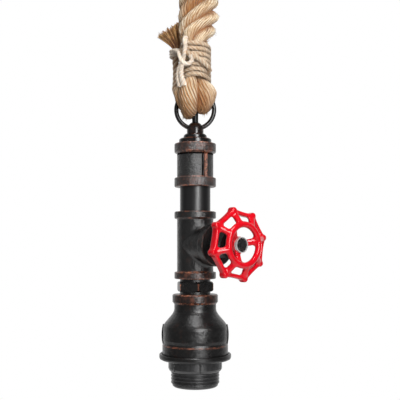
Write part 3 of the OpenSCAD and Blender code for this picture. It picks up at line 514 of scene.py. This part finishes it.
def hairs(count, seed):
    """Stray fibres on the rope, most of them low on the lobes. One of length h leaves the skin at
    p and runs p + h s (0.75 n + a t) + h s^2 b w, with n outward, t along the rope, w round it
    and a, b drawn at random. None grows where the ring's wire or the cable swings."""
    rng = np.random.default_rng(seed)
    grid = rope_tube[0]
    rows, cols = grid.shape[:2]
    row = np.arange(3, rows - 3)
    often = np.where(rope_path[row, 2] < -5.0, 1.0, np.where(rope_run[row] < 16.0, 0.0, 0.16))
    r, c = rng.choice(row, count, p=often / often.sum()), rng.integers(0, cols, count)
    root = grid[r, c]
    clear = (np.hypot(root[:, 1], root[:, 2]) > 15.5) | (root[:, 2] > 8.0)
    clear &= (np.abs(np.abs(root[:, 0]) - 8.0) < 2.5) | (root[:, 2] > 4.0)
    r, c, root = r[clear], c[clear], root[clear]
    out = root - rope_path[r]
    out /= np.linalg.norm(out, axis=1, keepdims=True)
    along = heading(rope_path)[r]
    round_it = np.cross(out, along)
    kept = len(r)
    s = np.linspace(0, 1, 6)[None, :, None]
    h = rng.uniform(1.2, 3.4, (kept, 1, 1))
    a, b = rng.normal(0.0, 0.7, (2, kept, 1, 1))
    path = (root - 0.3 * out)[:, None, :] + h * s * (0.75 * out[:, None, :] + a * along[:, None, :])
    path = path + h * s**2 * b * round_it[:, None, :]
    turn = np.linspace(0, 2 * np.pi, 4, endpoint=False)[None, None, :, None]
    thick = rng.uniform(0.14, 0.28, (kept, 1, 1, 1)) * (1 - 0.6 * s[:, :, None, :])
    grids = path[:, :, None, :] + thick * (np.cos(turn) * along[:, None, None, :]
                                           + np.sin(turn) * round_it[:, None, None, :])
    across = rng.uniform(0, 3, (kept, 1, 1)) + np.linspace(0, 0.2, 5)
    lay = np.stack(np.broadcast_arrays(across, 2 * s), -1)
    dark = np.broadcast_to(rng.uniform(0, 0.5, (kept, 1, 1)), (kept, 6, 4))
    return list(zip(grids, lay, dark))


fuzz = skin("rope_fuzz", hairs(1800, 11), brush_hemp, "ceiling")

# Hanging loop and bushing: a forged eye with a ball-shaped boss, screwed through the
# reducing bushing that closes the top coupling. Both have a glossy black enamel that is
# rubbed brown on the boss.

# The second colour is the brighter copper painted as highlight flecks on the barest spots.
copper, bright = (0.25, 0.08, 0.042), (0.62, 0.24, 0.13)


def vector(mat, kind, a, b=(0.0, 0.0, 0.0)):
    """One Vector Math node: its number for a dot product or a length, else its vector."""
    made = put(mat, "ShaderNodeVectorMath", {0: a, 1: b}, operation=kind)
    return made.outputs["Value" if kind in ("DOT_PRODUCT", "LENGTH") else "Vector"]


def axis(mat, where, letter):
    """One coordinate of a place."""
    return put(mat, "ShaderNodeSeparateXYZ", {"Vector": where}).outputs[letter]


def apart(mat, value, mark):
    """Distance of a value from a mark."""
    return sums(mat, "ABSOLUTE", sums(mat, "SUBTRACT", value, mark))


def band_wear(mat, where, marks):
    """Mask on each marked height (height, half width, strength), fading to 0 beside it."""
    z, mask = axis(mat, where, "Z"), 0.0
    for height, half, strength in marks:
        one = span(mat, apart(mat, z, height), 0.3 * half, half, strength, 0.0)
        mask = sums(mat, "MAXIMUM", mask, one)
    return mask


def enamel_worn(name, marks=(), dark=(0.0036, 0.0034, 0.0034), low=0.24, high=0.38, cast=0.00034,
                extra=None, shine=0.5):
    """Black coat over cast iron: fine sand-cast grain, and brown metal where edges rub. Marked
    heights are rubbed most on the side towards the camera, partly real wear and partly painted
    light on the lit front, and the barest spots take flecks of a brighter copper as painted
    highlight."""
    mat = finish(name, dark, 0.42)
    where = place(mat)
    sand = grain(mat, where, 760.0, 4.0, 0.6)
    lumps = grain(mat, where, 230.0, 3.0)
    # Partly painted light: the rubbing is weighted to the side facing the camera, which the lamps light.
    ahead = vector(mat, "DOT_PRODUCT", where, tuple(toward))
    wear_and_lit_front = sums(mat, "MULTIPLY", band_wear(mat, where, marks), span(mat, ahead, 0.006, 0.018, 0.45, 1.0))
    if extra:
        wear_and_lit_front = sums(mat, "MAXIMUM", wear_and_lit_front, extra(mat, where))
    patch = span(mat, grain(mat, where, 260.0, 5.0, 0.65), 0.44, 0.64, 0.1, 1.0)
    film = span(mat, grain(mat, where, 95.0, 5.0, 0.7), 0.56, 0.8, 0.0, 0.1)
    rub = sums(mat, "MAXIMUM", sums(mat, "MULTIPLY", wear_and_lit_front, patch), film)
    colour = blend(mat, rub, (*dark, 1.0), (*copper, 1.0))
    # Painted highlight: the most worn spots take flecks of a brighter copper.
    flecks = span(mat, grain(mat, where, 620.0, 3.0), 0.5, 0.72)
    painted_glint = sums(mat, "MULTIPLY", sums(mat, "POWER", wear_and_lit_front, 4.0), flecks)
    feed(mat, "Base Color", blend(mat, painted_glint, colour, (*bright, 1.0)))
    feed(mat, "Roughness", span(mat, lumps, 0.3, 0.7, low, high))
    relief(mat, sums(mat, "ADD", sand, sums(mat, "MULTIPLY", lumps, 1.6)), cast)
    tune(mat, Specular_IOR_Level=shine)
    return mat


loop_marks = [(-0.174, 0.006, 0.18), (-0.1795, 0.001, 0.5), (-0.1836, 0.0009, 0.5)]
loop_coat = enamel_worn("loop_coat", loop_marks, low=0.15, high=0.3, cast=0.00008)
dress(loop_coat, "hanging_loop", "top_bushing")

# Top coupling: a cast iron sleeve with a beaded band at each end and a gripping rib on
# either side, tumbled and coated black, its edges worn to brown.

z_coup, z_pipe = -0.1876, -0.2256
band_high = 0.008
ribs_at = math.radians(-8.8)
coupling_shine = 0.95


def rib_place(mat, where, angle):
    """Distance from the vertical plane at an angle through the axis."""
    side = (-math.sin(angle), math.cos(angle), 0.0)
    return sums(mat, "ABSOLUTE", vector(mat, "DOT_PRODUCT", where, side))


def between_bands(mat, where):
    """Mask of 1 on the sleeve between its two bands."""
    z = axis(mat, where, "Z")
    return sums(mat, "MULTIPLY", span(mat, z, z_pipe + 0.0072, z_pipe + 0.0092),
                span(mat, z, z_coup - 0.0092, z_coup - 0.0072, 1.0, 0.0))


def rib_wear(mat, where):
    """Mask of 1 on the outer face of the two ribs: close to their plane and far from the axis."""
    close = span(mat, rib_place(mat, where, ribs_at), 0.0013, 0.0017, 1.0, 0.0)
    close = sums(mat, "MULTIPLY", close, between_bands(mat, where))
    out = rib_place(mat, where, ribs_at + math.pi / 2)
    return sums(mat, "MULTIPLY", close, span(mat, out, 0.0164, 0.017))


coupling_marks = [(z_coup, 0.0018, 1.0), (z_coup - 0.004, 0.005, 0.35),
                  (z_coup - band_high, 0.0014, 1.0), (z_pipe + band_high, 0.0012, 0.8),
                  (z_pipe, 0.0014, 1.0), (z_pipe + 0.004, 0.005, 0.25)]
coupling_iron = enamel_worn("coupling_iron", coupling_marks, low=0.3, high=0.42, cast=0.0006,
                            extra=rib_wear, shine=coupling_shine)


def rib_corner(mat, where):
    """Mask of 1 in the corners that take painted shade: at the foot of each rib and under the upper
    band.
    """
    off = rib_place(mat, where, ribs_at)
    foot = sums(mat, "MULTIPLY", span(mat, off, 0.0014, 0.0018),
                span(mat, off, 0.0026, 0.0034, 1.0, 0.0))
    foot = sums(mat, "MULTIPLY", foot, between_bands(mat, where))
    return sums(mat, "MAXIMUM", foot, band_wear(mat, where, [(z_coup - 0.0096, 0.0014, 1.0)]))


# Painted shade: the shine is taken off at the foot of the ribs and under the upper band, so these
# corners stay dark as in shadow.
painted_shade_corners = rib_corner(coupling_iron, place(coupling_iron))
feed(coupling_iron, "Specular IOR Level", span(coupling_iron, painted_shade_corners, 0.0, 1.0, coupling_shine, 0.0))
dress(coupling_iron, "top_coupling")

# Pipe nipple: a short length of drawn steel pipe between the coupling and the tee, with
# a smooth black lacquer over faint drawing lines.

pipe_coat = finish("pipe_coat", (0.0036, 0.0036, 0.0038), 0.38)
drawn = stretched(pipe_coat, place(pipe_coat), (1600.0, 1600.0, 40.0))
lines = grain(pipe_coat, drawn, 1.0, 3.0)
feed(pipe_coat, "Roughness", span(pipe_coat, lines, 0.3, 0.7, 0.32, 0.42))
relief(pipe_coat, lines, 0.00003)
tune(pipe_coat, Specular_IOR_Level=0.6)
dress(pipe_coat, "pipe_nipple")

# Tee: the same cast iron as the coupling. Its branch runs into the barrel with a cast
# fillet, and the valve's bonnet is screwed into it.

z_tee, z_tee_end, z_mid = -0.2472, -0.3062, -0.2767


def branch_wear(mat, where):
    """Mask on the two edges of the branch's band, at set reaches along X."""
    x = axis(mat, where, "X")
    near = sums(mat, "MINIMUM", apart(mat, x, 0.0295), apart(mat, x, 0.0233))
    across = vector(mat, "ADD", where, (0.0, 0.0, -z_mid))
    far = vector(mat, "LENGTH", vector(mat, "MULTIPLY", across, (0.0, 1.0, 1.0)))
    return sums(mat, "MULTIPLY", span(mat, near, 0.0, 0.0011, 0.35, 0.0), span(mat, far, 0.0168, 0.0174))


tee_marks = [(z_tee, 0.0012, 0.7), (z_tee - 0.0062, 0.001, 0.6), (z_tee_end + 0.0062, 0.0014, 1.0),
             (z_tee_end, 0.0016, 1.0), (z_tee_end + 0.003, 0.004, 0.35)]
tee_iron = enamel_worn("tee_iron", tee_marks, low=0.28, high=0.38, cast=0.0003, extra=branch_wear,
                       shine=0.7)
dress(tee_iron, "pipe_tee")


def fillet(run_r, ball, rows, cols):
    """Fillet where the branch meets the barrel, both of radius R. A ball of radius f rolls in
    the corner with its centre at x = z = (R + f) cos q, y = (R + f) sin q, and touches the
    barrel and the branch at R/(R + f) of the way out from each axis. The strip is the arc of
    the ball between the two touches."""
    q = np.radians(np.linspace(-76, 76, rows))[:, None, None]
    x, y = (run_r + ball) * np.cos(q), (run_r + ball) * np.sin(q)
    centre = np.concatenate([x, y, x], -1)
    k = run_r / (run_r + ball)
    first = np.concatenate([x * k, y * k, x], -1) - centre
    last = np.concatenate([x, y * k, x * k], -1) - centre
    u = np.linspace(-0.03, 1.03, cols)[None, :, None]
    ray = first * (1 - u) + last * u
    return centre + ray / np.linalg.norm(ray, axis=-1, keepdims=True) * ball


def sheet(rows, cols):
    """Quads over a grid of rows x columns points."""
    at = np.arange(rows * cols).reshape(rows, cols)
    return np.stack([at[:-1, :-1], at[:-1, 1:], at[1:, 1:], at[1:, :-1]], -1).reshape(-1, 4)


fillet_rows, fillet_cols = 60, 14
for word, flip in (("upper", 1), ("lower", -1)):
    strip = fillet(15.9, 4.2, fillet_rows, fillet_cols) * np.array([1, 1, flip])
    saddle = surface("tee_fillet_" + word, strip.reshape(-1, 3) / 1000 + [0, 0, z_mid],
                     sheet(fillet_rows, fillet_cols)[:, ::flip].tolist(), tee_iron)
    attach(saddle, "lamp")

# Valve: a hexagonal bonnet and gland nut in the same black, and a turned spindle with a
# spring clip inside the tee.

valve_coat = enamel_worn("valve_coat", low=0.3, high=0.45, cast=0.00012)
nut_dark = enamel_worn("nut_dark", dark=(0.009, 0.0088, 0.0088), low=0.2, high=0.32, cast=0.0001,
                       shine=0.9)
dress(valve_coat, "valve_bonnet", "gland_nut")
dress(nut_dark, "wheel_nut", "valve_spindle")
steel = finish("turned_steel", (0.5, 0.49, 0.47), 0.3, 1.0)
feed(steel, "Roughness", span(steel, grain(steel, place(steel), 800.0), 0.3, 0.7, 0.24, 0.4))
dress(steel, "spindle_clip")

# Handwheel: a dished iron casting with eight knuckles on its rim and three spokes, dipped
# in glossy red enamel that softens every corner. A zinc washer and a black nut hold it.

red = finish("red_enamel", (0.6, 0.002, 0.012), 0.3)
swell = grain(red, place(red), 260.0, 2.0)
feed(red, "Base Color", ramp(red, swell, (0.3, (0.52, 0.001, 0.007)), (0.7, (0.66, 0.002, 0.012))))
orange_peel = sums(red, "MULTIPLY", grain(red, place(red), 1100.0, 2.0), 0.2)
relief(red, sums(red, "ADD", swell, orange_peel), 0.00012)
tune(red, Specular_IOR_Level=0.05, Coat_Weight=0.6, Coat_Roughness=0.02)
dress(red, "handwheel")
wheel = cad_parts["handwheel"]
for step, grown in (("cast_skin", 0.0011), ("cast_fillets", -0.0012)):
    joined = wheel.modifiers.new(step, "REMESH")
    joined.mode = "VOXEL"
    joined.voxel_size = 0.0004
    joined.use_smooth_shade = True
    pushed = wheel.modifiers.new(step + "_offset", "DISPLACE")
    pushed.mid_level = 0.0
    pushed.strength = grown
dip = wheel.modifiers.new("enamel_dip", "SMOOTH")
dip.factor = 0.5
dip.iterations = 10
washer_zinc = finish("washer_zinc", (0.7, 0.7, 0.69), 0.45, 0.6)
plating = grain(washer_zinc, place(washer_zinc), 900.0)
feed(washer_zinc, "Roughness", span(washer_zinc, plating, 0.3, 0.7, 0.38, 0.55))
dress(washer_zinc, "wheel_washer")

# Hex nipple: a cast hexagon between two pipe threads, which joins the tee to the bell. Its
# corners are rubbed bright.


def corner_wear(mat, where):
    """Mask of 1 near the hexagon's corners, the points farthest from the axis."""
    far = vector(mat, "LENGTH", vector(mat, "MULTIPLY", where, (1.0, 1.0, 0.0)))
    return span(mat, far, 0.0164, 0.0168)


nipple_iron = enamel_worn("nipple_iron", extra=corner_wear)
dress(nipple_iron, "hex_nipple")

# Bell reducer: a cast iron bell from pipe size to socket size, with a band at its neck, a
# seam line near its mouth and a wrench pad on either side.

z_bell, z_bell_end = -0.3196, -0.3730
bell_marks = [(z_bell, 0.0018, 1.0), (z_bell - 0.0076, 0.0012, 1.0), (z_bell - 0.004, 0.004, 0.3),
              (z_bell_end + 0.009, 0.0011, 0.6)]
bell_iron = enamel_worn("bell_iron", bell_marks, low=0.27, high=0.35, cast=0.0002)
dress(bell_iron, "bell_reducer")

# Lamp socket: a moulded phenolic body with an outside thread for shades, its cap inside
# the bell, and a porcelain insulator with the screw shell.

phenolic = finish("phenolic", (0.01, 0.01, 0.0105), 0.36)
scuff = grain(phenolic, place(phenolic), 420.0, 6.0, 0.7)
feed(phenolic, "Base Color", ramp(phenolic, scuff, (0.35, (0.009, 0.009, 0.0095)),
                                  (0.7, (0.026, 0.026, 0.027))))
feed(phenolic, "Roughness", span(phenolic, scuff, 0.3, 0.7, 0.28, 0.44))
relief(phenolic, grain(phenolic, place(phenolic), 1800.0), 0.00005)
tune(phenolic, Specular_IOR_Level=0.75)
dress(phenolic, "socket_cap", "socket_body", "ring_nut")
glaze = finish("porcelain", (0.82, 0.8, 0.74), 0.2)
kiln = grain(glaze, place(glaze), 150.0)
feed(glaze, "Base Color", ramp(glaze, kiln, (0.3, (0.78, 0.76, 0.69)), (0.7, (0.85, 0.83, 0.78))))
dress(glaze, "shell_insulator")
for node, colour in (("live_wire", (0.22, 0.09, 0.04)), ("neutral_wire", (0.03, 0.08, 0.4))):
    sleeve = finish(node + "_sleeve", colour, 0.45)
    relief(sleeve, grain(sleeve, place(sleeve), 1500.0), 0.00003)
    dress(sleeve, node)

# Shade dish and ring nut: a pressed steel dish with a rolled lip sits on the bell's mouth,
# and the moulded ring nut clamps a shade against it.

dish_coat = enamel_worn("dish_coat", low=0.3, high=0.42, cast=0.00004)
dress(dish_coat, "shade_dish")

# Stage: a white floor well below the hanging lamp, a room that is white behind it and dark
# in front, three soft boxes, and a level camera as far off as the photograph was taken.

stage_white = finish("stage_white", (0.86, 0.86, 0.86), 0.9)
tree = stage_white.node_tree
matt = tree.nodes["Principled BSDF"]
light_path = put(stage_white, "ShaderNodeLightPath")
seen = sums(stage_white, "MAXIMUM", light_path.outputs["Is Camera Ray"],
            light_path.outputs["Is Glossy Ray"])
seen = sums(stage_white, "MAXIMUM", seen, light_path.outputs["Is Transmission Ray"])
glow = put(stage_white, "ShaderNodeEmission", {"Color": (1, 1, 1, 1), "Strength": 0.62})
both = put(stage_white, "ShaderNodeAddShader", {0: matt.outputs[0], 1: glow.outputs[0]})
pick = put(stage_white, "ShaderNodeMixShader", {0: seen, 1: matt.outputs[0], 2: both.outputs[0]})
tree.links.new(pick.outputs[0], tree.nodes["Material Output"].inputs["Surface"])
floor_half, floor_z, floor_cuts = 2.2, -1.3, 7
u = np.linspace(-floor_half, floor_half, floor_cuts)
fx, fy = np.meshgrid(u, u, indexing="ij")
floor = surface("floor", np.stack([fx, fy, 0 * fx + floor_z], -1).reshape(-1, 3),
                sheet(floor_cuts, floor_cuts)[:, ::-1].tolist(), stage_white)

world = bpy.data.worlds.new("studio")
bpy.context.scene.world = world
world.use_nodes = True
sky = world.node_tree.nodes["Background"]
sky.inputs["Color"].default_value = (1, 1, 1, 1)
rays = put(world, "ShaderNodeLightPath")
seen = sums(world, "MAXIMUM", rays.outputs["Is Camera Ray"], rays.outputs["Is Transmission Ray"])
looking = put(world, "ShaderNodeTexCoord").outputs["Generated"]
gaze = vector(world, "DOT_PRODUCT", looking, tuple(-toward))
behind = sums(world, "MULTIPLY", rays.outputs["Is Glossy Ray"], span(world, gaze, 0.25, 0.85))
seen = sums(world, "MAXIMUM", seen, behind)
studio = sums(world, "MAXIMUM", seen, span(world, gaze, -0.1, 0.7, 0.12, 0.5))
world.node_tree.links.new(studio, sky.inputs["Strength"])

middle = np.array([0.0, 0.0, -0.26])


def soft_box(name, ahead, aside, up, width, height, watts):
    """Area light at a place given from the pendant's middle, facing it."""
    data = bpy.data.lights.new(name, "AREA")
    data.shape, data.size, data.size_y, data.energy = "RECTANGLE", width, height, watts
    box = bpy.data.objects.new(name, data)
    spot = toward * ahead + right * aside + np.array([0, 0, up])
    box.location = middle + spot
    box.rotation_euler = (math.acos(up / np.linalg.norm(spot)), 0.0,
                          math.atan2(spot[1], spot[0]) + math.pi / 2)
    bpy.context.scene.collection.objects.link(box)


soft_box("key_box", 1.0, 0.36, 0.25, 0.3, 0.9, 14.4)
soft_box("fill_box", 0.8, -0.9, 0.4, 1.4, 1.4, 1.1)
soft_box("top_box", 0.42, 0.02, 1.1, 0.3, 0.3, 6.5)

lens = bpy.data.cameras.new("camera")
lens.sensor_width, lens.lens = 36.0, 63.0
lens.shift_x, lens.shift_y = 0.012, 0.1225
camera = bpy.data.objects.new("camera", lens)
camera_off, camera_z = 0.616, -0.280
camera.location = toward * camera_off + np.array([0, 0, camera_z])
camera.rotation_euler = (math.pi / 2, 0.0, loop_turn)
bpy.context.scene.collection.objects.link(camera)
bpy.context.scene.camera = camera
bpy.context.scene.view_settings.view_transform = "Standard"
